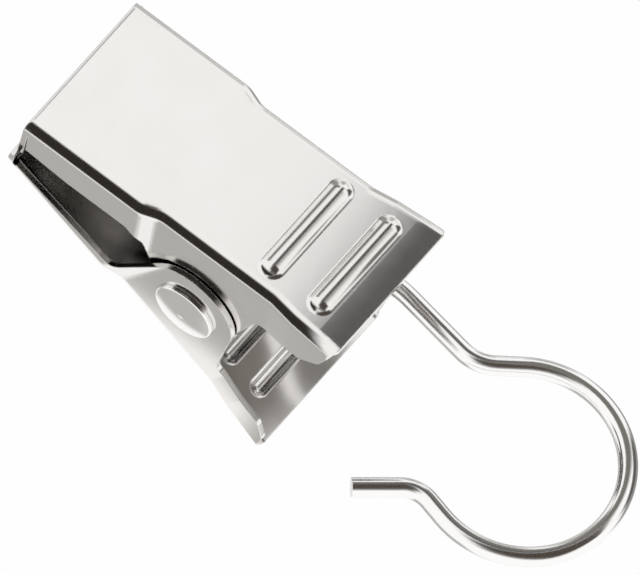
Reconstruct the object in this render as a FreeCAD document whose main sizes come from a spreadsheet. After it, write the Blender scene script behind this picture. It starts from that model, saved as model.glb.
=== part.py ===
import FreeCAD, Part
import math
import os
import Sketcher
from FreeCAD import Placement, Rotation, Vector

doc = FreeCAD.newDocument("CurtainClipHook")
sheet = doc.addObject("Spreadsheet::Sheet", "Sizes")

# Driving dimensions, in millimetres and degrees. Places along a jaw are measured from the rivet
# axis, depths from the outer face of its plate.
driving = {
    "sheet_thickness": 0.45,
    "bend_radius": 0.95,
    "lip_bend_radius": 0.36,
    "side_play": 0.1,
    "pivot_to_front": 15.34,
    "pivot_to_rear": 12.29,
    "front_plate_tilt": 2.0,
    "plate_spread_angle": 30.45,
    "grip_half_width": 6.5,
    "neck_half_width": 5.94,
    "handle_half_width": 6.29,
    "rear_half_width": 6.62,
    "grip_jog_place": 3.74,
    "grip_jog_length": 1.5,
    "handle_jog_place": 6.1,
    "handle_jog_length": 2.1,
    "jog_blend": 2.0,
    "flange_setback": 0.42,
    "rear_corner_radius": 0.9,
    "flange_blend": 0.7,
    "lip_meeting_height": 4.83,
    "lip_gap": 0.08,
    "front_depth": 8.88,
    "front_tip_flange": 3.25,
    "front_grip_flange": 3.65,
    "front_flange_rise_place": 11.34,
    "front_ear_fore_place": 4.54,
    "front_ear_fore_depth": 4.7,
    "front_ear_aft_place": 5.36,
    "front_ear_aft_depth": 4.8,
    "front_ear_radius": 3.15,
    "front_ear_offset": 0.29,
    "front_ear_drop": 0.3,
    "front_handle_flange": 4.3,
    "front_handle_end_setback": 2.79,
    "front_handle_slope_setback": 1.19,
    "front_handle_slope_depth": 2.9,
    "front_lip_angle": 2.7,
    "front_bead_setback": 3.28,
    "front_bead_spacing": 4.35,
    "back_depth": 5.37,
    "back_tip_flange": 1.0,
    "back_grip_flange": 1.55,
    "back_flange_rise_place": 6.7,
    "back_ear_fore_place": 4.84,
    "back_ear_fore_depth": 1.7,
    "back_ear_aft_place": 5.26,
    "back_ear_aft_depth": 2.7,
    "back_ear_radius": 3.9,
    "back_ear_offset": 0.2,
    "back_ear_drop": 0.5,
    "back_handle_flange": 2.95,
    "back_handle_end_setback": 1.99,
    "back_handle_slope_setback": 0.79,
    "back_handle_slope_depth": 2.0,
    "back_lip_angle": 25.0,
    "back_bead_setback": 2.94,
    "back_bead_spacing": 3.15,
    "bead_length": 9.4,
    "bead_width": 1.75,
    "bead_height": 0.45,
    "bead_blend": 0.35,
    "rear_curl_radius": 28.0,
    "rivet_radius": 1.2,
    "rivet_play": 0.05,
    "near_head_radius": 2.45,
    "far_head_radius": 2.35,
    "head_rim": 0.35,
    "head_dome": 0.3,
    "head_round": 0.15,
    "wire_radius": 0.71,
    "eye_play": 0.08,
    "eye_place": 4.72,
    "eye_end_angle": 53.0,
    "eye_blend_radius": 1.5,
    "neck_bend_drop": 14.4,
    "neck_bend_radius": 8.0,
    "throat_clearance": 0.742,
    "throat_angle": 26.88,
    "throat_radius": 3.2,
    "loop_radius": 7.33,
    "loop_height": 25.2,
    "loop_end_angle": 13.5,
    "tail_reach": 2.77,
    "tail_radius": 2.5,
    "tail_angle": 48.9,
    "tail_length": 4.7,
    "spring_wire_radius": 0.42,
    "spring_inner_radius": 1.55,
    "spring_turn_count": 3,
    "spring_pitch": 0.92,
    "spring_place": 0.6,
    "spring_reach": 5.2,
    "spring_seat_gap": 0.12,
    "tool_overrun": 1.5,
}
for row, (name, value) in enumerate(driving.items(), start=1):
    sheet.set(f"A{row}", name)
    sheet.set(f"B{row}", str(value))
    sheet.setAlias(f"B{row}", name)
doc.recompute()


class Size:
    """A value together with the formula of sheet cells that it comes from."""

    def __init__(self, value, formula):
        self.value = value
        self.formula = formula

    def join(self, sign, other, value):
        other_formula = other.formula if isinstance(other, Size) else repr(float(other))
        return Size(value, f"({self.formula} {sign} {other_formula})")

    def __add__(self, other):
        return self.join("+", other, self.value + float(other))

    def __sub__(self, other):
        return self.join("-", other, self.value - float(other))

    def __mul__(self, other):
        return self.join("*", other, self.value * float(other))

    def __truediv__(self, other):
        return self.join("/", other, self.value / float(other))

    def __neg__(self):
        return self * -1

    def __float__(self):
        return float(self.value)


def size(name):
    return Size(getattr(sheet, name), f"Sizes.{name}")


def sine(angle):
    return Size(math.sin(math.radians(float(angle))), f"sin({angle.formula})")


def square_root(amount):
    return Size(math.sqrt(float(amount)), f"sqrt({amount.formula})")


def cosine(angle):
    return Size(math.cos(math.radians(float(angle))), f"cos({angle.formula})")


thickness = size("sheet_thickness")
neck = size("neck_half_width")
overrun = size("tool_overrun")
zero = Size(0, "0")


def origin_plane(body, role):
    return [item for item in body.Origin.OriginFeatures if item.Role == role][0]


def new_sketch(body, name, role, lift):
    sketch = body.newObject("Sketcher::SketchObject", name)
    sketch.AttachmentSupport = [(origin_plane(body, role), "")]
    sketch.MapMode = "FlatFace"
    sketch.setExpression(".AttachmentOffset.Base.z", lift.formula)
    return sketch


def bind(sketch, constraint, amount):
    number = sketch.addConstraint(constraint)
    sketch.setExpression(f"Constraints[{number}]", amount.formula)


def fix_point(sketch, edge, end, point):
    for kind, amount in zip(("DistanceX", "DistanceY"), point):
        bind(sketch, Sketcher.Constraint(kind, -1, 1, edge, end, float(amount)), amount)


def spot(point):
    return Vector(float(point[0]), float(point[1]), 0)


def draw_outline(sketch, points):
    for index, point in enumerate(points):
        following = points[(index + 1) % len(points)]
        sketch.addGeometry(Part.LineSegment(spot(point), spot(following)))
    for index, point in enumerate(points):
        following = (index + 1) % len(points)
        sketch.addConstraint(Sketcher.Constraint("Coincident", index, 2, following, 1))
        fix_point(sketch, index, 1, point)


def draw_circle(sketch, centre, radius):
    edge = sketch.addGeometry(Part.Circle(spot(centre), Vector(0, 0, 1), float(radius)))
    fix_point(sketch, edge, 3, centre)
    bind(sketch, Sketcher.Constraint("Radius", edge, float(radius)), radius)


def tangent_spot(centre, radius, point, side):
    """Where a line from the point touches the circle, on the side given as 1 or -1."""
    away = spot(point) - spot(centre)
    swing = side * math.acos(float(radius) / away.Length)
    angle = math.atan2(away.y, away.x) + swing
    return spot(centre) + Vector(math.cos(angle), math.sin(angle), 0) * float(radius)


def draw_outline_with_tip(sketch, before, after, centre, radius):
    """Closed outline whose last point before the tip and first after it run onto one arc."""
    down = tangent_spot(centre, radius, before[-1], 1)
    up = tangent_spot(centre, radius, after[0], -1)
    start = math.atan2(down.y - float(centre[1]), down.x - float(centre[0]))
    end = math.atan2(up.y - float(centre[1]), up.x - float(centre[0]))
    spots = [spot(point) for point in before] + [down]
    for first, second in zip(spots, spots[1:]):
        sketch.addGeometry(Part.LineSegment(first, second))
    circle = Part.Circle(spot(centre), Vector(0, 0, 1), float(radius))
    arc = sketch.addGeometry(Part.ArcOfCircle(circle, start, end))
    spots = [up] + [spot(point) for point in after] + [spot(before[0])]
    for first, second in zip(spots, spots[1:]):
        sketch.addGeometry(Part.LineSegment(first, second))
    for edge in range(arc - 1):
        sketch.addConstraint(Sketcher.Constraint("Coincident", edge, 2, edge + 1, 1))
    last = sketch.GeometryCount - 1
    for edge in range(arc + 1, last):
        sketch.addConstraint(Sketcher.Constraint("Coincident", edge, 2, edge + 1, 1))
    sketch.addConstraint(Sketcher.Constraint("Coincident", last, 2, 0, 1))
    sketch.addConstraint(Sketcher.Constraint("Tangent", arc - 1, 2, arc, 1))
    sketch.addConstraint(Sketcher.Constraint("Tangent", arc, 2, arc + 1, 1))
    fix_point(sketch, arc, 3, centre)
    bind(sketch, Sketcher.Constraint("Radius", arc, float(radius)), radius)
    for edge, point in enumerate(before):
        fix_point(sketch, edge, 1, point)
    for edge, point in enumerate(after):
        fix_point(sketch, arc + 2 + edge, 1, point)


def add_pad(body, name, sketch, length, side="One side", reversed_way=False):
    pad = body.newObject("PartDesign::Pad", name)
    pad.Profile = sketch
    pad.SideType = side
    pad.Reversed = reversed_way
    pad.setExpression("Length", length.formula)
    doc.recompute()
    return pad


def add_pocket(body, name, sketch, length, side="One side", reversed_way=False):
    before = body.Shape.Volume
    pocket = body.newObject("PartDesign::Pocket", name)
    pocket.Profile = sketch
    pocket.SideType = side
    pocket.Reversed = reversed_way
    pocket.setExpression("Length", length.formula)
    doc.recompute()
    if not body.Shape.Volume < before:
        raise RuntimeError(f"{body.Label}: {name} cuts nothing")
    return pocket


def add_fillet(body, name, radius, wanted):
    base = body.Tip
    edges = base.Shape.Edges
    names = [f"Edge{index + 1}" for index, edge in enumerate(edges) if wanted(edge)]
    if not names:
        raise RuntimeError(f"{body.Label}: {name} finds no edge")
    fillet = body.newObject("PartDesign::Fillet", name)
    fillet.Base = (base, names)
    fillet.setExpression("Radius", radius.formula)
    doc.recompute()
    if "Invalid" in fillet.State or "Error" in fillet.State:
        raise RuntimeError(f"{body.Label}: {name} failed on {len(names)} edges")
    return fillet


def runs_along(edge, axis):
    if len(edge.Vertexes) < 2:
        return False
    span = edge.Vertexes[1].Point - edge.Vertexes[0].Point
    return span.Length > 0 and abs(abs(span.dot(axis)) - span.Length) < 1e-6 * span.Length


def near(amount, target, slack=0.02):
    return abs(amount - float(target)) < slack


def mirrored(points):
    return points + [(-across, along) for across, along in reversed(points)]


def jog_ends():
    """Where the plate's width steps in behind the grip and out again at the handle."""
    grip = size("grip_jog_place")
    handle = size("handle_jog_place")
    return (-grip - size("grip_jog_length"), -grip, handle, handle + size("handle_jog_length"))


def plan_outline(side, inset, fore, aft):
    """Plan of a jaw from its fore to its aft end, inset on both sides."""
    jog_places = jog_ends()
    flare_length = size("pivot_to_rear") - jog_places[3]
    flare = (size("rear_half_width") - size("handle_half_width")) / flare_length
    rear_half = size("handle_half_width") + flare * (aft - jog_places[3])
    return mirrored([
        (size("grip_half_width") + side - inset, fore),
        (size("grip_half_width") + side - inset, jog_places[0]),
        (neck + side - inset, jog_places[1]),
        (neck + side - inset, jog_places[2]),
        (size("handle_half_width") + side - inset, jog_places[3]),
        (rear_half + side - inset, aft),
    ])


def is_jog_edge(edge):
    along = edge.CenterOfMass.y
    return runs_along(edge, Vector(0, 0, 1)) and any(near(along, place) for place in jog_ends())


def bead_places(prefix):
    last = size("pivot_to_rear") - size(prefix + "_bead_setback")
    return (last - size(prefix + "_bead_spacing"), last)


def draw_capsule(sketch, half_length, radius):
    """Half of a bar with round ends, above the axis that it is turned about."""
    ends = (-half_length, half_length)
    left = Part.Circle(spot((ends[0], zero)), Vector(0, 0, 1), float(radius))
    right = Part.Circle(spot((ends[1], zero)), Vector(0, 0, 1), float(radius))
    outer = half_length + radius
    sketch.addGeometry(Part.ArcOfCircle(left, math.pi / 2, math.pi))
    sketch.addGeometry(Part.LineSegment(spot((-outer, zero)), spot((outer, zero))))
    sketch.addGeometry(Part.ArcOfCircle(right, 0, math.pi / 2))
    sketch.addGeometry(Part.LineSegment(spot((ends[1], radius)), spot((ends[0], radius))))
    for first, second in ((0, 1), (1, 2), (2, 3), (3, 0)):
        sketch.addConstraint(Sketcher.Constraint("Coincident", first, 2, second, 1))
    fix_point(sketch, 0, 3, (ends[0], zero))
    fix_point(sketch, 2, 3, (ends[1], zero))
    fix_point(sketch, 0, 1, (ends[0], radius))
    fix_point(sketch, 2, 2, (ends[1], radius))
    for end in (1, 2):
        sketch.addConstraint(Sketcher.Constraint("PointOnObject", 1, end, -1))


def turn_capsule(body, kind, name, place, height, radius):
    """Bar across the jaw with round ends, added or cut."""
    half_length = size("bead_length") / 2 - size("bead_width") / 2
    sketch = new_sketch(body, name + "Profile", "XZ_Plane", -place)
    sketch.setExpression(".AttachmentOffset.Base.y", height.formula)
    draw_capsule(sketch, half_length, radius)
    before = body.Shape.Volume
    feature = body.newObject("PartDesign::" + kind, name)
    feature.Profile = sketch
    feature.ReferenceAxis = (sketch, ["H_Axis"])
    feature.Angle = 360
    doc.recompute()
    if abs(body.Shape.Volume - before) < 1e-3:
        raise RuntimeError(f"{body.Label}: {name} changes nothing")


def lip_points(depth, reach, lean, height, join):
    """Section of the turned-in lip: from the plate round the front corner to its edge."""
    inner = (cosine(lean) - sine(lean) * (-sine(lean) + 1) / cosine(lean)) * thickness
    edge_y = -reach - sine(lean) * height
    edge_z = depth - cosine(lean) * height
    return [
        (join, depth),
        (-reach, depth),
        (edge_y, edge_z),
        (edge_y + cosine(lean) * thickness, edge_z - sine(lean) * thickness),
        (-reach + inner, depth - thickness),
        (join, depth - thickness),
    ]


def draw_curl_waste(sketch, start, end, depth, radius):
    """Waste above the plate's end, which bends gently inward from the start place on."""
    centre = (start, depth - radius)
    fall = math.asin(float(end - start) / float(radius))
    circle = Part.Circle(spot(centre), Vector(0, 0, 1), float(radius))
    sketch.addGeometry(Part.ArcOfCircle(circle, math.pi / 2 - fall, math.pi / 2))
    low = sketch.Geometry[0].StartPoint
    corners = [(start, depth), (start, depth + overrun), (end, depth + overrun)]
    spots = [spot(corner) for corner in corners] + [low]
    for first, second in zip(spots, spots[1:]):
        sketch.addGeometry(Part.LineSegment(first, second))
    for first, second in ((0, 1), (1, 2), (2, 3)):
        sketch.addConstraint(Sketcher.Constraint("Coincident", first, 2, second, 1))
    sketch.addConstraint(Sketcher.Constraint("Coincident", 3, 2, 0, 1))
    fix_point(sketch, 0, 3, centre)
    bind(sketch, Sketcher.Constraint("Radius", 0, float(radius)), radius)
    bind(sketch, Sketcher.Constraint("DistanceX", -1, 1, 1, 1, float(start)), start)
    fix_point(sketch, 2, 1, corners[1])
    fix_point(sketch, 3, 1, corners[2])
    bind(sketch, Sketcher.Constraint("DistanceX", -1, 1, 0, 1, float(end)), end)


def draw_corner_cut(sketch, hand, half, aft, radius):
    """Waste outside a rounded corner: two straight runs outside and one arc inside."""
    first = sketch.GeometryCount
    centre = ((half - radius) * hand, aft - radius)
    circle = Part.Circle(spot(centre), Vector(0, 0, 1), float(radius))
    angles = (0, math.pi / 2) if hand > 0 else (math.pi / 2, math.pi)
    sketch.addGeometry(Part.ArcOfCircle(circle, *angles))
    inner = (centre[0], aft)
    outer = (half * hand, aft - radius)
    start, end = (outer, inner) if hand > 0 else (inner, outer)
    clear_inner = (inner[0], aft + overrun)
    clear_corner = ((half + overrun) * hand, aft + overrun)
    clear_outer = ((half + overrun) * hand, aft - radius)
    waste = [clear_inner, clear_corner, clear_outer]
    chain = [end] + (waste if hand > 0 else waste[::-1]) + [start]
    for begin, finish in zip(chain, chain[1:]):
        sketch.addGeometry(Part.LineSegment(spot(begin), spot(finish)))
    for step in range(1, len(chain)):
        following = first + (step + 1 if step + 1 < len(chain) else 0)
        sketch.addConstraint(Sketcher.Constraint("Coincident", first + step, 2, following, 1))
        fix_point(sketch, first + step, 1, chain[step - 1])
    sketch.addConstraint(Sketcher.Constraint("Coincident", first, 2, first + 1, 1))
    bind(sketch, Sketcher.Constraint("Radius", first, float(radius)), radius)
    fix_point(sketch, first, 1, start)


def make_jaw(label, prefix, side, ear_shift, lip_height):
    body = doc.addObject("PartDesign::Body", label)

    def own(name):
        return size(f"{prefix}_{name}")

    depth = own("depth")
    reach = size("pivot_to_front")
    fore = -reach + size("flange_setback")
    aft = size("pivot_to_rear")
    wide = (size("rear_half_width") + side + overrun) * 2
    tip_centre = (ear_shift, -own("ear_drop"))
    floor = own("ear_drop") + own("ear_radius") + overrun
    places = bead_places(prefix)
    half_bead = size("bead_width") / 2
    curl_radius = size("rear_curl_radius")
    curl_start = places[1] + half_bead + size("bead_blend")
    curl_run = aft - curl_start
    end_drop = curl_radius - square_root(curl_radius * curl_radius - curl_run * curl_run)

    plan = new_sketch(body, "Plan", "XY_Plane", depth)
    draw_outline(plan, plan_outline(side, zero, fore, aft))
    add_pad(body, "Blank", plan, depth + floor, reversed_way=True)
    add_fillet(body, "Jogs", size("jog_blend"), is_jog_edge)

    curl = new_sketch(body, "CurlWaste", "YZ_Plane", zero)
    draw_curl_waste(curl, curl_start, aft + overrun, depth, curl_radius)
    add_pocket(body, "RearCurl", curl, wide, side="Symmetric")

    def is_side_edge_on_top(edge):
        centre = edge.CenterOfMass
        high = near(centre.z, depth, float(end_drop))
        return high and abs(centre.x) > float(neck) / 2 and not runs_along(edge, Vector(1, 0, 0))

    add_fillet(body, "OuterBends", size("bend_radius"), is_side_edge_on_top)

    bead_radius = (half_bead * half_bead / size("bead_height") + size("bead_height")) / 2
    bead_height = depth + size("bead_height") - bead_radius
    for number, place in enumerate(places, start=1):
        turn_capsule(body, "Revolution", f"Bead{number}", place, bead_height, bead_radius)

    def is_bead_foot(edge, level):
        box = edge.BoundBox
        flat = box.ZLength < 1e-4 and near(box.ZMin, level, 1e-3)
        along = edge.CenterOfMass.y
        return flat and any(abs(along - float(place)) < float(half_bead) for place in places)

    add_fillet(body, "BeadFeet", size("bead_blend"), lambda edge: is_bead_foot(edge, depth))

    ceiling = depth - thickness
    hollow = new_sketch(body, "HollowPlan", "XY_Plane", ceiling)
    draw_outline(hollow, plan_outline(side, thickness, fore - overrun, aft + overrun))
    add_pocket(body, "Hollow", hollow, ceiling + floor + overrun)
    add_fillet(body, "InnerJogs", size("jog_blend"), is_jog_edge)

    def is_side_edge_on_ceiling(edge):
        centre = edge.CenterOfMass
        level = near(edge.BoundBox.ZMin, ceiling) and near(centre.z, ceiling)
        return level and abs(centre.x) > float(neck) / 2 and not runs_along(edge, Vector(1, 0, 0))

    add_fillet(body, "InnerBends", size("bend_radius") - thickness, is_side_edge_on_ceiling)

    inside = bead_radius - thickness
    for number, place in enumerate(places, start=1):
        turn_capsule(body, "Groove", f"BeadHollow{number}", place, bead_height, inside)
    add_fillet(body, "BeadMouths", size("bead_blend"), lambda edge: is_bead_foot(edge, ceiling))

    side_view = new_sketch(body, "SideView", "YZ_Plane", zero)
    under = depth - thickness - end_drop
    ear_shoulder = (-own("ear_fore_place") - size("flange_blend") * 2, depth - own("grip_flange"))
    ear_fore = (-own("ear_fore_place"), depth - own("ear_fore_depth"))
    ear_aft = (own("ear_aft_place"), depth - own("ear_aft_depth"))
    handle_end = (aft - own("handle_end_setback"), depth - own("handle_flange"))
    handle_slope = (aft - own("handle_slope_setback"), depth - own("handle_slope_depth"))
    draw_outline_with_tip(
        side_view,
        [
            (fore - overrun, -floor - overrun),
            (fore - overrun, depth - own("tip_flange")),
            (fore, depth - own("tip_flange")),
            (-own("flange_rise_place"), depth - own("grip_flange")),
            ear_shoulder,
            ear_fore,
        ],
        [
            ear_aft,
            handle_end,
            handle_slope,
            (aft - thickness / 2, under),
            (aft + overrun, under),
            (aft + overrun, -floor - overrun),
        ],
        tip_centre,
        own("ear_radius"),
    )
    add_pocket(body, "SideTrim", side_view, wide, side="Symmetric")

    def is_flange_corner(edge):
        centre = edge.CenterOfMass
        corners = (ear_shoulder, ear_fore, ear_aft, handle_end, handle_slope)
        placed = any(near(centre.y, y) and near(centre.z, z) for y, z in corners)
        return placed and near(edge.Length, thickness, 0.08)

    add_fillet(body, "FlangeCorners", size("flange_blend"), is_flange_corner)

    rear = new_sketch(body, "RearCorners", "XY_Plane", depth + overrun)
    for hand in (1, -1):
        draw_corner_cut(rear, hand, size("rear_half_width") + side, aft,
                        size("rear_corner_radius"))
    add_pocket(body, "RearCornerCut", rear, depth + overrun)

    lip = new_sketch(body, "LipSection", "YZ_Plane", zero)
    draw_outline(lip, lip_points(depth, reach, own("lip_angle"), lip_height, fore))
    add_pad(body, "Lip", lip, (size("grip_half_width") + side) * 2, side="Symmetric")

    def is_lip_bend(edge):
        centre = edge.CenterOfMass
        placed = near(centre.y, -reach) and near(centre.z, depth)
        return placed and runs_along(edge, Vector(1, 0, 0))

    add_fillet(body, "LipBend", size("lip_bend_radius"), is_lip_bend)

    corners = new_sketch(body, "LipCorners", "XZ_Plane", -fore)
    for hand in (1, -1):
        draw_corner_cut(corners, hand, size("grip_half_width") + side, depth, size("bend_radius"))
    add_pocket(body, "LipCornerCut", corners, overrun, reversed_way=True)

    pin = new_sketch(body, "RivetHoles", "YZ_Plane", zero)
    draw_circle(pin, (zero, zero), size("rivet_radius") + size("rivet_play"))
    add_pocket(body, "RivetHole", pin, wide, side="Symmetric")
    return body


# The outer jaw's lip ends just short of the inner jaw's, whatever the plates' depth and spread.
tilt = size("front_plate_tilt")
back_angle = size("plate_spread_angle") - tilt
reach = size("pivot_to_front")
front_lean = size("front_lip_angle")
back_lean = size("back_lip_angle")
front_lip_height = (size("front_depth") - size("lip_meeting_height")) / cosine(front_lean)
front_edge_along = reach + sine(front_lean) * front_lip_height
front_edge_out = size("front_depth") - cosine(front_lean) * front_lip_height
front_edge_y = sine(tilt) * front_edge_along - cosine(tilt) * front_edge_out
back_corner_y = cosine(back_angle) * size("back_depth") - sine(back_angle) * reach
back_lip_room = back_corner_y - front_edge_y - size("lip_gap")
back_lip_height = back_lip_room / cosine(back_angle - back_lean)

rivet_height = -size("loop_height")
front_jaw = make_jaw("front_jaw", "front", zero, size("front_ear_offset"), front_lip_height)
back_side = thickness + size("side_play")
back_jaw = make_jaw("back_jaw", "back", back_side, -size("back_ear_offset"), back_lip_height)

front_jaw.Placement = Placement(Vector(0, 0, rivet_height.value),
                                Rotation(Vector(1, 0, 0), 90 + tilt.value))
back_turn = Rotation(Vector(1, 0, 0), 90 - back_angle.value)
back_jaw.Placement = Placement(Vector(0, 0, rivet_height.value),
                               back_turn * Rotation(Vector(0, 1, 0), 180))
for jaw in (front_jaw, back_jaw):
    jaw.setExpression(".Placement.Base.z", rivet_height.formula)


def make_rivet():
    """Round pin along X with a domed head outside each outer ear."""
    body = doc.addObject("PartDesign::Body", "rivet")
    seat = neck + thickness + size("side_play")
    edge_place = seat + size("head_rim")
    top = edge_place + size("head_dome")
    pin = size("rivet_radius")
    far = size("far_head_radius")
    close = size("near_head_radius")
    rise = float(size("head_dome"))
    section = new_sketch(body, "Section", "XZ_Plane", zero)
    corners = [(-edge_place, far), (-seat, far), (-seat, pin),
               (seat, pin), (seat, close), (edge_place, close)]
    for first, second in zip(corners, corners[1:]):
        section.addGeometry(Part.LineSegment(spot(first), spot(second)))
    near_radius = (float(close) ** 2 / rise + rise) / 2
    far_radius = (float(far) ** 2 / rise + rise) / 2
    near_ball = Part.Circle(Vector(float(top) - near_radius, 0, 0), Vector(0, 0, 1), near_radius)
    far_ball = Part.Circle(Vector(far_radius - float(top), 0, 0), Vector(0, 0, 1), far_radius)
    near_turn = math.asin(float(close) / near_radius)
    far_turn = math.asin(float(far) / far_radius)
    near_dome = section.addGeometry(Part.ArcOfCircle(near_ball, 0, near_turn))
    axis = section.addGeometry(Part.LineSegment(spot((top, zero)), spot((-top, zero))))
    far_dome = section.addGeometry(Part.ArcOfCircle(far_ball, math.pi - far_turn, math.pi))
    joints = [(0, 2, 1, 1), (1, 2, 2, 1), (2, 2, 3, 1), (3, 2, 4, 1), (4, 2, near_dome, 2),
              (near_dome, 1, axis, 1), (axis, 2, far_dome, 2), (far_dome, 1, 0, 1)]
    for joint in joints:
        section.addConstraint(Sketcher.Constraint("Coincident", *joint))
    for index, corner in enumerate(corners[:-1]):
        fix_point(section, index, 1, corner)
    fix_point(section, len(corners) - 2, 2, corners[-1])
    fix_point(section, axis, 1, (top, zero))
    fix_point(section, axis, 2, (-top, zero))
    for dome in (near_dome, far_dome):
        section.addConstraint(Sketcher.Constraint("PointOnObject", dome, 3, -1))
    turned = body.newObject("PartDesign::Revolution", "Turned")
    turned.Profile = section
    turned.ReferenceAxis = (section, ["H_Axis"])
    turned.Angle = 360
    doc.recompute()

    def is_head_rim(edge):
        return near(abs(edge.CenterOfMass.x), edge_place) and near(edge.CenterOfMass.z, 0)

    add_fillet(body, "HeadRounds", size("head_round"), is_head_rim)
    body.setExpression(".Placement.Base.z", rivet_height.formula)
    return body


def direction(angle):
    """Unit vector in the hook's plane, with the angle from +X toward +Z."""
    turn = math.radians(angle)
    return Vector(math.cos(turn), 0, math.sin(turn))


def bend_edges(before, corner, after, radius):
    """Tangent arc at a corner of the wire, with the points where it starts and ends."""
    arrive = (corner - before).normalize()
    leave = (after - corner).normalize()
    half_turn = arrive.getAngle(leave) / 2
    cut = radius * math.tan(half_turn)
    start = corner - arrive * cut
    end = corner + leave * cut
    inward = (leave - arrive).normalize()
    middle = corner + inward * (radius / math.cos(half_turn) - radius)
    return start, end, Part.Arc(start, middle, end).toShape()


def hook_path():
    """Wire's centre line above the rivet axis: eye, neck, throat, open loop and tail."""
    place = -float(size("eye_place"))
    eye_radius = float(size("rivet_radius") + size("eye_play") + size("wire_radius"))
    blend = float(size("eye_blend_radius"))
    lift = math.sqrt((eye_radius + blend) ** 2 - blend ** 2)
    leave = Vector(place, blend, lift)
    touch = Vector(place, blend * eye_radius / (eye_radius + blend),
                   lift * eye_radius / (eye_radius + blend))
    free = math.radians(float(size("eye_end_angle")))
    free_end = Vector(place, -eye_radius * math.sin(free), eye_radius * math.cos(free))
    bottom = Vector(place, 0, -eye_radius)
    neck_start = Vector(place, 0, lift)
    half_way = math.pi + math.atan2(lift, blend) / 2
    blend_middle = leave + Vector(0, math.cos(half_way), math.sin(half_way)) * blend
    edges = [
        Part.Arc(free_end, bottom, touch).toShape(),
        Part.Arc(touch, blend_middle, neck_start).toShape(),
    ]
    loop_radius = float(size("loop_radius"))
    centre = Vector(0, 0, float(size("loop_height")))
    lower = Vector(place, 0, centre.z - float(size("neck_bend_drop")))
    throat_reach = loop_radius + float(size("throat_clearance"))
    throat = centre + direction(-90 - float(size("throat_angle"))) * throat_reach
    away = throat - centre
    reach_angle = math.degrees(math.atan2(away.z, away.x)) % 360
    onto = reach_angle - math.degrees(math.acos(loop_radius / away.Length))
    loop_start = centre + direction(onto) * loop_radius
    off = -float(size("loop_end_angle"))
    loop_end = centre + direction(off) * loop_radius
    loop_middle = centre + direction((onto + off) / 2) * loop_radius
    tail_way = direction(off - 90)
    tail_corner = loop_end + tail_way * float(size("tail_reach"))
    tip = tail_corner + direction(-float(size("tail_angle"))) * float(size("tail_length"))
    bend_1, bend_2, lower_arc = bend_edges(neck_start, lower, throat,
                                           float(size("neck_bend_radius")))
    bend_3, bend_4, throat_arc = bend_edges(lower, throat, loop_start,
                                            float(size("throat_radius")))
    bend_5, bend_6, tail_arc = bend_edges(loop_end, tail_corner, tip, float(size("tail_radius")))
    edges += [
        Part.makeLine(neck_start, bend_1),
        lower_arc,
        Part.makeLine(bend_2, bend_3),
        throat_arc,
        Part.makeLine(bend_4, loop_start),
        Part.Arc(loop_start, loop_middle, loop_end).toShape(),
        Part.makeLine(loop_end, bend_5),
        tail_arc,
        Part.makeLine(bend_6, tip),
    ]
    return Part.Wire(edges)


def seat_on_handle(depth, angle, outward):
    """Distance from the rivet axis and direction, from +Y toward +Z, of an arm's far end."""
    lift = float(depth - thickness - size("spring_wire_radius") - size("spring_seat_gap"))
    along = float(size("spring_reach"))
    turn = math.radians(float(angle))
    across = outward * (lift * math.cos(turn) + along * math.sin(turn))
    upward = along * math.cos(turn) - lift * math.sin(turn)
    return math.hypot(across, upward), math.degrees(math.atan2(upward, across))


def spring_path():
    """Straight arm, coil and straight arm; squeezing the handles winds the coil tighter."""
    coil = float(size("spring_inner_radius") + size("spring_wire_radius"))
    pitch = float(size("spring_pitch"))
    back_reach, back_way = seat_on_handle(size("back_depth"), back_angle, 1)
    front_reach, front_way = seat_on_handle(size("front_depth"), tilt, -1)
    start = back_way - math.degrees(math.acos(coil / back_reach))
    end = front_way + math.degrees(math.acos(coil / front_reach))
    turns = float(size("spring_turn_count")) + ((start - end) % 360) / 360
    length = turns * pitch
    helix = Part.makeHelix(pitch, length, coil)
    lean = math.hypot(2 * math.pi * coil, pitch) / (2 * math.pi * coil)
    way_in = Vector(0, 2 * math.pi * coil, pitch).normalize()
    turned = 2 * math.pi * turns
    way_out = Rotation(Vector(0, 0, 1), math.degrees(turned)).multVec(way_in)
    first = Vector(coil, 0, 0)
    last = Vector(coil * math.cos(turned), coil * math.sin(turned), length)
    back_arm = math.sqrt(back_reach ** 2 - coil ** 2) * lean
    front_arm = math.sqrt(front_reach ** 2 - coil ** 2) * lean
    edges = [Part.makeLine(first - way_in * back_arm, first)]
    edges += helix.Edges
    edges.append(Part.makeLine(last, last + way_out * front_arm))
    wire = Part.Wire(edges)
    turn = math.radians(start)
    across = Vector(0, math.cos(turn), math.sin(turn))
    along = Vector(0, math.sin(turn), -math.cos(turn))
    near_side = Vector(float(size("spring_place")) + length / 2, 0, 0)
    wire.Placement = Placement(near_side, Rotation(across, along, Vector(-1, 0, 0), "ZXY"))
    return wire


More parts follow.
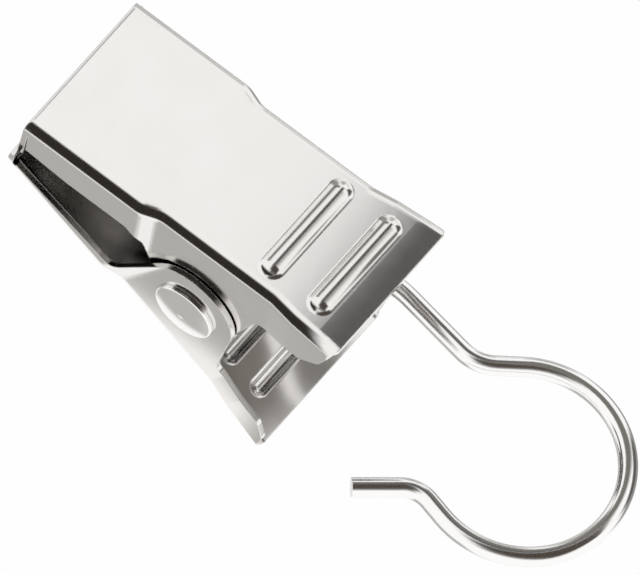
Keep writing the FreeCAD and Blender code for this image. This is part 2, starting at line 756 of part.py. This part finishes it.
def sweep_wire(label, path_shape, radius):
    """Round wire along a path that starts with a straight run or an arc."""
    path = doc.addObject("Part::Feature", label + "_path")
    path.Shape = path_shape
    section = doc.addObject("Part::Circle", label + "_section")
    section.setExpression("Radius", radius.formula)
    start = path.Shape.OrderedEdges[0]
    first = path.Shape.OrderedVertexes[0].Point
    parameter = start.FirstParameter
    if (start.valueAt(parameter) - first).Length > 1e-6:
        parameter = start.LastParameter
    section.Placement = Placement(first, Rotation(Vector(0, 0, 1), start.tangentAt(parameter)))
    wire = doc.addObject("Part::Sweep", label)
    wire.Sections = [section]
    count = len(path.Shape.Edges)
    wire.Spine = (path, [f"Edge{number + 1}" for number in range(count)])
    wire.Solid = True
    wire.Frenet = True
    wire.Transition = "Right corner"
    wire.setExpression(".Placement.Base.z", rivet_height.formula)
    doc.recompute()
    expected = math.pi * float(radius) ** 2 * path.Shape.Length
    print(label, "length", round(path.Shape.Length, 2), "volume over section times length",
          round(wire.Shape.Volume / expected, 4))
    return wire


rivet = make_rivet()
hook = sweep_wire("hook", hook_path(), size("wire_radius"))
spring = sweep_wire("torsion_spring", spring_path(), size("spring_wire_radius"))
doc.recompute()

os.makedirs("parts", exist_ok=True)
kept = [front_jaw, back_jaw, rivet, spring, hook]
for item in doc.Objects:
    if "Invalid" in item.State or "Error" in item.State:
        raise RuntimeError(f"{item.Label} failed: {item.State}")
for item in kept:
    shape = item.Shape
    if shape.isNull() or not shape.isValid():
        raise RuntimeError(f"{item.Label} has no valid shape")
    print(item.Label, len(shape.Solids), round(shape.Volume, 3), shape.BoundBox)
    shape.exportStep(f"parts/{item.Label}.step")
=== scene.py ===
import bmesh
import bpy
import math
from mathutils import Matrix, Vector


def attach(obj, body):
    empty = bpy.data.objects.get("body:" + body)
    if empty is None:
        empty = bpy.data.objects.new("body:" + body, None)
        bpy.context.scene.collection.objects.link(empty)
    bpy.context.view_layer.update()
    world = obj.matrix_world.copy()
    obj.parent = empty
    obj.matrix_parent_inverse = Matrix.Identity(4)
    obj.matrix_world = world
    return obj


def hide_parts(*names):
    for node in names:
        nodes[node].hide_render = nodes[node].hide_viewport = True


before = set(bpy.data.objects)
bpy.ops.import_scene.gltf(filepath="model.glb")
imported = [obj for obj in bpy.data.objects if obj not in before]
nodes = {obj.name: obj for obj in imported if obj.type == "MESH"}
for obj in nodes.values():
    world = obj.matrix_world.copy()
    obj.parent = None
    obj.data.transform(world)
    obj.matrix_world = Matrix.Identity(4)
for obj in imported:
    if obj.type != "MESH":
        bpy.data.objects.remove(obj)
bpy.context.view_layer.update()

print("frame loaded:", sorted(nodes))


def newMaterial(name):
    material = bpy.data.materials.new(name)
    material.use_nodes = True
    return material, material.node_tree.nodes, material.node_tree.links


# what all four metals share: scales per metre, and roughness as a share of the metal's own
metalSurface = {
    "patchScale": 420.0,
    "patchDetail": 5.0,
    "grainDetail": 4.0,
    "polish": (0.85, 1.2),
    # painted shade: the occlusion at which the darkening is full, and the occlusion's samples
    "paintedShadeFullAt": 0.1,
    "paintedShadeSamples": 8,
    "edgeSamples": 4,
}
plateMetal = {
    "colour": (0.92, 0.903, 0.885, 1),
    "stain": (0.84, 0.815, 0.79, 1),
    "roughness": 0.13,
    # painted shade: reach of the occlusion, the colour it darkens to and where the darkening ends
    "paintedShadeReach": 0.014,
    "paintedShadeColour": (0.05, 0.042, 0.034, 1),
    "paintedShadeNoneAt": 0.72,
    "grainScale": 900.0,
    "grainDepth": 0.0000015,
    "edgeRadius": 0.00012,
}
wireMetal = {
    "colour": (0.97, 0.965, 0.955, 1),
    "stain": (0.96, 0.95, 0.935, 1),
    "roughness": 0.14,
    # painted shade: reach of the occlusion, the colour it darkens to and where the darkening ends
    "paintedShadeReach": 0.002,
    "paintedShadeColour": (0.2, 0.19, 0.18, 1),
    "paintedShadeNoneAt": 0.5,
    "grainScale": 1200.0,
    "grainDepth": 0.000001,
    "edgeRadius": 0.00005,
}
rivetMetal = {
    "colour": (0.96, 0.95, 0.935, 1),
    "stain": (0.95, 0.935, 0.915, 1),
    "roughness": 0.16,
    # painted shade: reach of the occlusion, the colour it darkens to and where the darkening ends
    "paintedShadeReach": 0.0012,
    "paintedShadeColour": (0.06, 0.052, 0.045, 1),
    "paintedShadeNoneAt": 0.6,
    "grainScale": 1500.0,
    "grainDepth": 0.0000015,
    "edgeRadius": 0.00008,
}
springMetal = {
    "colour": (0.42, 0.42, 0.43, 1),
    "stain": (0.38, 0.37, 0.37, 1),
    "roughness": 0.32,
    # painted shade: reach of the occlusion, the colour it darkens to and where the darkening ends
    "paintedShadeReach": 0.002,
    "paintedShadeColour": (0.05, 0.045, 0.04, 1),
    "paintedShadeNoneAt": 0.6,
    "grainScale": 1500.0,
    "grainDepth": 0.000002,
    "edgeRadius": 0.00004,
}


def polishedMetal(name, values):
    # polished metal: fine grain, faint patches of tone and polish, softened edges and painted
    # shade where the surroundings close in, darkened in the base colour by ambient occlusion
    material, tree, links = newMaterial(name)
    shader = tree["Principled BSDF"]
    shader.inputs["Metallic"].default_value = 1.0
    # painted shade: ambient occlusion darkens the base colour in creases, hollows and between
    # parts
    shadeOcclusion = tree.new("ShaderNodeAmbientOcclusion")
    shadeOcclusion.samples = metalSurface["paintedShadeSamples"]
    shadeOcclusion.inputs["Distance"].default_value = values["paintedShadeReach"]
    place = tree.new("ShaderNodeTexCoord")
    patches = tree.new("ShaderNodeTexNoise")
    patches.inputs["Scale"].default_value = metalSurface["patchScale"]
    patches.inputs["Detail"].default_value = metalSurface["patchDetail"]
    links.new(place.outputs["Object"], patches.inputs["Vector"])
    tone = tree.new("ShaderNodeMix")
    tone.data_type = "RGBA"
    tone.inputs["A"].default_value = values["stain"]
    tone.inputs["B"].default_value = values["colour"]
    links.new(patches.outputs["Fac"], tone.inputs["Factor"])
    unshadedShare = tree.new("ShaderNodeMapRange")
    unshadedShare.interpolation_type = "SMOOTHSTEP"
    unshadedShare.inputs["From Min"].default_value = metalSurface["paintedShadeFullAt"]
    unshadedShare.inputs["From Max"].default_value = values["paintedShadeNoneAt"]
    links.new(shadeOcclusion.outputs["AO"], unshadedShare.inputs["Value"])
    # painted shade: the dark colour is mixed in where the occlusion closes in
    paintedShade = tree.new("ShaderNodeMix")
    paintedShade.data_type = "RGBA"
    paintedShade.inputs["A"].default_value = values["paintedShadeColour"]
    links.new(tone.outputs["Result"], paintedShade.inputs["B"])
    links.new(unshadedShare.outputs["Result"], paintedShade.inputs["Factor"])
    links.new(paintedShade.outputs["Result"], shader.inputs["Base Color"])
    grain = tree.new("ShaderNodeTexNoise")
    grain.inputs["Scale"].default_value = values["grainScale"]
    grain.inputs["Detail"].default_value = metalSurface["grainDetail"]
    links.new(place.outputs["Object"], grain.inputs["Vector"])
    polish = tree.new("ShaderNodeMapRange")
    smoothest, roughest = metalSurface["polish"]
    polish.inputs["To Min"].default_value = values["roughness"] * smoothest
    polish.inputs["To Max"].default_value = values["roughness"] * roughest
    links.new(patches.outputs["Fac"], polish.inputs["Value"])
    links.new(polish.outputs["Result"], shader.inputs["Roughness"])
    edge = tree.new("ShaderNodeBevel")
    edge.samples = metalSurface["edgeSamples"]
    edge.inputs["Radius"].default_value = values["edgeRadius"]
    bump = tree.new("ShaderNodeBump")
    bump.inputs["Distance"].default_value = values["grainDepth"]
    links.new(grain.outputs["Fac"], bump.inputs["Height"])
    links.new(edge.outputs["Normal"], bump.inputs["Normal"])
    links.new(bump.outputs["Normal"], shader.inputs["Normal"])
    return material


finishes = {
    "front_jaw": polishedMetal("jawPlate", plateMetal),
    "rivet": polishedMetal("rivetMetal", rivetMetal),
    "torsion_spring": polishedMetal("springWire", springMetal),
    "hook": polishedMetal("hookWire", wireMetal),
}
finishes["back_jaw"] = finishes["front_jaw"]
for name, node in nodes.items():
    node.data.materials.clear()
    node.data.materials.append(finishes[name])
print("finishes assigned")


def linkMesh(name, shape, material):
    mesh = bpy.data.meshes.new(name + "Mesh")
    shape.to_mesh(mesh)
    shape.free()
    mesh.materials.append(material)
    piece = bpy.data.objects.new(name, mesh)
    bpy.context.scene.collection.objects.link(piece)
    return piece


# the torsion spring in two pieces: its front arm turns with the front jaw and slides out of the
# coil, which stays with the back jaw
springShape = {
    "axis": Vector((0.0, 0.0, -0.0252)),
    "coilRadius": 0.00197,
    "wireRadius": 0.00042,
    "innerWireRadius": 0.000414,
    "lead": 0.00092,
    "armAngle": 226.58,
    "armPlace": -0.000885,
    "armLength": 0.009267,
    "hiddenTurn": 32.0,
    "hiddenSteps": 8,
    "roundSteps": 24,
    "weldDistance": 1e-7,
    "cutStart": 1e-4,
    "cutMargin": 1.03,
    "smoothFaceSides": 4,
}


def coilPoint(degrees):
    turn = math.radians(degrees)
    rise = springShape["lead"] * (degrees - springShape["armAngle"]) / 360
    spoke = Vector((0, math.cos(turn), math.sin(turn))) * springShape["coilRadius"]
    return springShape["axis"] + spoke + Vector((springShape["armPlace"] + rise, 0, 0))


def coilDirection(degrees):
    turn = math.radians(degrees)
    around = 2 * math.pi * springShape["coilRadius"]
    way = Vector((-springShape["lead"], around * math.sin(turn), -around * math.cos(turn)))
    return way.normalized()


def addSpringCoil():
    # the solid spring without its front arm, cut a little past where the arm leaves the coil
    foot = coilPoint(springShape["armAngle"])
    way = coilDirection(springShape["armAngle"])
    shape = bmesh.new()
    shape.from_mesh(nodes["torsion_spring"].data)
    bmesh.ops.remove_doubles(shape, verts=shape.verts, dist=springShape["weldDistance"])
    reach = springShape["wireRadius"] * springShape["cutMargin"]
    arm = []
    for vert in shape.verts:
        along = (vert.co - foot).dot(way)
        aside = (vert.co - foot - way * along).length
        if along > springShape["cutStart"] and aside < reach:
            arm.append(vert)
    bmesh.ops.delete(shape, geom=arm, context="VERTS")
    bmesh.ops.holes_fill(shape, edges=[edge for edge in shape.edges if edge.is_boundary])
    for face in shape.faces:
        face.smooth = len(face.verts) <= springShape["smoothFaceSides"]
    piece = linkMesh("springCoil", shape, finishes["torsion_spring"])
    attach(piece, "outer_jaw")
    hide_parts("torsion_spring")


def addSpringArm():
    # a short arc hidden inside the coil's last turn, then the straight arm
    hidden = springShape["hiddenTurn"]
    start = springShape["armAngle"] + hidden
    steps = springShape["hiddenSteps"]
    shape = bmesh.new()
    bmesh.ops.create_circle(shape, cap_ends=False, segments=springShape["roundSteps"],
                            radius=springShape["innerWireRadius"])
    turn = coilDirection(start).to_track_quat("Z", "Y").to_matrix().to_4x4()
    onCoil = Matrix.Translation(coilPoint(start)) @ turn
    bmesh.ops.transform(shape, matrix=onCoil, verts=shape.verts)
    sideways = Vector((-springShape["lead"] * hidden / 360 / steps, 0, 0))
    arc = bmesh.ops.spin(shape, geom=shape.edges[:], cent=springShape["axis"], axis=(1, 0, 0),
                         dvec=sideways, angle=math.radians(-hidden), steps=steps)
    rim = [item for item in arc["geom_last"] if isinstance(item, bmesh.types.BMEdge)]
    pulled = bmesh.ops.extrude_edge_only(shape, edges=rim)["geom"]
    reach = coilDirection(springShape["armAngle"]) * springShape["armLength"]
    end = [item for item in pulled if isinstance(item, bmesh.types.BMVert)]
    bmesh.ops.translate(shape, vec=reach, verts=end)
    for face in shape.faces:
        face.smooth = True
    bmesh.ops.holes_fill(shape, edges=[edge for edge in shape.edges if edge.is_boundary])
    bmesh.ops.recalc_face_normals(shape, faces=shape.faces)
    piece = linkMesh("springArm", shape, finishes["torsion_spring"])
    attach(piece, "inner_jaw")
    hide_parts("torsion_spring")


addSpringCoil()
addSpringArm()
print("spring pieces made")

# studio: a pale floor, white all round and soft cards that only the metal sees
studio = {
    "centre": (0.0, 0.0, -0.02),
    "floorHeight": -0.42,
    "floorSize": 6.0,
    "floorColour": (0.99, 0.99, 0.99, 1),
    "floorRoughness": 0.9,
    "wallSteps": 24,
}
# azimuth runs from +X toward +Y, elevation upward from the level of the studio's centre, and soft
# is half the width of the faded edges, all in degrees; reach is in metres, and the cards of short
# reach stand beside the clip; cover is the share that a card hides of what lies behind it
cards = {
    "sideDark": {
        "reach": 0.38, "azimuth": (-114, -66), "elevation": (-4, 52), "soft": (3, 4),
        "shade": (0.075, 0.062, 0.052),
    },
    "sideFade": {
        "reach": 0.4, "azimuth": (-90, -44), "elevation": (4, 58), "soft": (16, 8),
        "shade": (0.13, 0.12, 0.11),
    },
    "levelDark": {
        "reach": 0.1, "azimuth": (-138, -98), "elevation": (-11, 6), "soft": (7, 1),
        "shade": (0.1, 0.097, 0.093),
    },
    "leftDark": {
        "reach": 0.4, "azimuth": (-192, -147), "elevation": (15, 54), "soft": (6, 5),
        "shade": (0.1, 0.094, 0.088),
    },
    "lowDark": {
        "reach": 0.2, "azimuth": (-142, -122), "elevation": (-60, -25), "soft": (3, 5),
        "shade": (0.13, 0.124, 0.116),
    },
    "lowLeftGrey": {
        "reach": 0.19, "azimuth": (-192, -138), "elevation": (-62, -38), "soft": (6, 6),
        "shade": (0.3, 0.295, 0.285),
    },
    "backGrey": {
        "reach": 0.4, "azimuth": (128, 172), "elevation": (-8, 58), "soft": (8, 6),
        "shade": (0.27, 0.265, 0.26),
    },
    "rimGrey": {
        "reach": 0.3, "azimuth": (104, 150), "elevation": (-30, 4), "soft": (5, 5),
        "shade": (0.4, 0.395, 0.385),
    },
    "sideGrey": {
        "reach": 0.31, "azimuth": (152, 198), "elevation": (-29, -13), "soft": (6, 4),
        "shade": (0.48, 0.475, 0.465),
    },
    "backLowGrey": {
        "reach": 0.21, "azimuth": (108, 170), "elevation": (-60, -30), "soft": (8, 8),
        "shade": (0.55, 0.545, 0.53),
    },
    "lowRightGrey": {
        "reach": 0.2, "azimuth": (40, 110), "elevation": (-62, -30), "soft": (20, 14),
        "shade": (0.36, 0.352, 0.34),
    },
    "bendDark": {
        "reach": 0.0145, "azimuth": (-60, -22), "elevation": (-60, 14), "soft": (3, 4),
        "shade": (0.03, 0.026, 0.022),
    },
    "flangeGrey": {
        "reach": 0.36, "azimuth": (30, 92), "elevation": (-30, 2), "soft": (8, 5),
        "shade": (0.47, 0.465, 0.45),
    },
    "flangeLight": {
        "reach": 0.018, "azimuth": (51, 80), "elevation": (-60, 0), "soft": (3, 6),
        "shade": (1.0, 0.995, 0.99),
    },
    "innerGrey": {
        "reach": 0.016, "azimuth": (-152, -108), "elevation": (37, 60), "soft": (4, 3),
        "shade": (0.18, 0.17, 0.155),
    },
    "plateShade": {
        "reach": 0.02, "azimuth": (-135, -60), "elevation": (-10, 60), "soft": (6, 32),
        "shade": (0.06, 0.045, 0.03), "cover": 0.27,
    },
}


def whiteWorld():
    world = bpy.data.worlds.new("studioWhite")
    world.use_nodes = True
    light = world.node_tree.nodes["Background"]
    light.inputs["Color"].default_value = (1, 1, 1, 1)
    light.inputs["Strength"].default_value = 1.0
    bpy.context.scene.world = world


def floorPaint():
    material, tree, _ = newMaterial("floorPaint")
    shader = tree["Principled BSDF"]
    shader.inputs["Base Color"].default_value = studio["floorColour"]
    shader.inputs["Roughness"].default_value = studio["floorRoughness"]
    shader.inputs["Specular IOR Level"].default_value = 0.0
    return material


def addFloor():
    shape = bmesh.new()
    bmesh.ops.create_grid(shape, x_segments=1, y_segments=1, size=studio["floorSize"] / 2)
    bmesh.ops.translate(shape, verts=shape.verts, vec=(0, 0, studio["floorHeight"]))
    linkMesh("floor", shape, floorPaint())


def softMask(tree, links, amount, half, soft):
    # 1 inside the card, falling gently to 0 at its edge
    distance = tree.new("ShaderNodeMath")
    distance.operation = "ABSOLUTE"
    links.new(amount, distance.inputs[0])
    fade = tree.new("ShaderNodeMapRange")
    fade.interpolation_type = "SMOOTHSTEP"
    fade.inputs["From Min"].default_value = math.radians(half + soft)
    fade.inputs["From Max"].default_value = math.radians(half - soft)
    links.new(distance.outputs["Value"], fade.inputs["Value"])
    return fade.outputs["Result"]


def angleOf(tree, links, rise, run, middle):
    # angle from middle, in radians, of rise over run; run is another node's output or a length
    angle = tree.new("ShaderNodeMath")
    angle.operation = "ARCTAN2"
    links.new(rise, angle.inputs[0])
    if isinstance(run, bpy.types.NodeSocket):
        links.new(run, angle.inputs[1])
    else:
        angle.inputs[1].default_value = run
    shift = tree.new("ShaderNodeMath")
    shift.operation = "SUBTRACT"
    shift.inputs[1].default_value = math.radians(middle)
    links.new(angle.outputs["Value"], shift.inputs[0])
    return shift.outputs["Value"]


def cardPaint(name, card):
    # shows the card's shade between its angles and nothing past its faded edges
    material, tree, links = newMaterial(name)
    tree.remove(tree["Principled BSDF"])
    azimuth = sum(card["azimuth"]) / 2
    elevation = sum(card["elevation"]) / 2
    place = tree.new("ShaderNodeTexCoord")
    move = tree.new("ShaderNodeVectorMath")
    move.operation = "SUBTRACT"
    move.inputs[1].default_value = studio["centre"]
    links.new(place.outputs["Object"], move.inputs[0])
    turn = tree.new("ShaderNodeVectorRotate")
    turn.rotation_type = "Z_AXIS"
    turn.inputs["Angle"].default_value = math.radians(-azimuth)
    links.new(move.outputs["Vector"], turn.inputs["Vector"])
    split = tree.new("ShaderNodeSeparateXYZ")
    links.new(turn.outputs["Vector"], split.inputs["Vector"])
    across = angleOf(tree, links, split.outputs["Y"], split.outputs["X"], 0)
    upward = angleOf(tree, links, split.outputs["Z"], card["reach"], elevation)
    wide = (card["azimuth"][1] - card["azimuth"][0]) / 2
    tall = (card["elevation"][1] - card["elevation"][0]) / 2
    both = tree.new("ShaderNodeMath")
    both.operation = "MULTIPLY"
    links.new(softMask(tree, links, across, wide, card["soft"][0]), both.inputs[0])
    links.new(softMask(tree, links, upward, tall, card["soft"][1]), both.inputs[1])
    cover = tree.new("ShaderNodeMath")
    cover.operation = "MULTIPLY"
    cover.inputs[1].default_value = card.get("cover", 1.0)
    links.new(both.outputs["Value"], cover.inputs[0])
    clear = tree.new("ShaderNodeBsdfTransparent")
    paint = tree.new("ShaderNodeEmission")
    paint.inputs["Color"].default_value = (*card["shade"], 1)
    choose = tree.new("ShaderNodeMixShader")
    links.new(cover.outputs["Value"], choose.inputs["Fac"])
    links.new(clear.outputs["BSDF"], choose.inputs[1])
    links.new(paint.outputs["Emission"], choose.inputs[2])
    links.new(choose.outputs["Shader"], tree["Material Output"].inputs["Surface"])
    return material


def addCard(name, card):
    # an upright line turned about the clip makes a wall that is curved round it
    reach = card["reach"]
    start, end = card["azimuth"][0] - card["soft"][0], card["azimuth"][1] + card["soft"][0]
    low, high = card["elevation"][0] - card["soft"][1], card["elevation"][1] + card["soft"][1]
    centre = Vector(studio["centre"])
    turn = math.radians(start)
    shape = bmesh.new()
    corners = []
    for rise in (low, high):
        height = reach * math.tan(math.radians(rise))
        spot = centre + Vector((reach * math.cos(turn), reach * math.sin(turn), height))
        corners.append(shape.verts.new(spot))
    line = shape.edges.new(corners)
    bmesh.ops.spin(shape, geom=corners + [line], cent=centre, axis=(0, 0, 1),
                   angle=math.radians(end - start), steps=studio["wallSteps"])
    wall = linkMesh(name, shape, cardPaint(name + "Paint", card))
    wall.visible_camera = False
    wall.visible_diffuse = False
    wall.visible_shadow = False


whiteWorld()
addFloor()
for name, card in cards.items():
    addCard(name, card)
print("studio built")

# the camera's axes, and the pixel of the picture at which it puts the rivet's middle
view = {
    "right": (-0.6143, -0.1142, 0.7808),
    "up": (-0.682, -0.4209, -0.5981),
    "toward": (0.397, -0.8999, 0.1806),
    "rivet": (0.0, 0.0, -0.0252),
    "rivetPixel": (242.17, 246.46),
    "picture": (640, 574),
    "frameWidth": 0.04476,
    "distance": 0.6,
    "nearest": 0.01,
    "farthest": 10.0,
}


def placeCamera():
    right, up, toward = (Vector(view[key]).normalized() for key in ("right", "up", "toward"))
    width, height = view["picture"]
    perPixel = view["frameWidth"] / width
    across = (width / 2 - view["rivetPixel"][0]) * perPixel
    down = (height / 2 - view["rivetPixel"][1]) * perPixel
    target = Vector(view["rivet"]) + right * across - up * down
    data = bpy.data.cameras.new("camera")
    data.type = "ORTHO"
    data.ortho_scale = view["frameWidth"]
    data.clip_start = view["nearest"]
    data.clip_end = view["farthest"]
    camera = bpy.data.objects.new("camera", data)
    bpy.context.scene.collection.objects.link(camera)
    turn = Matrix((right, up, toward)).transposed().to_4x4()
    camera.matrix_world = Matrix.Translation(target + toward * view["distance"]) @ turn
    bpy.context.scene.camera = camera


placeCamera()
bpy.context.scene.view_settings.view_transform = "Standard"
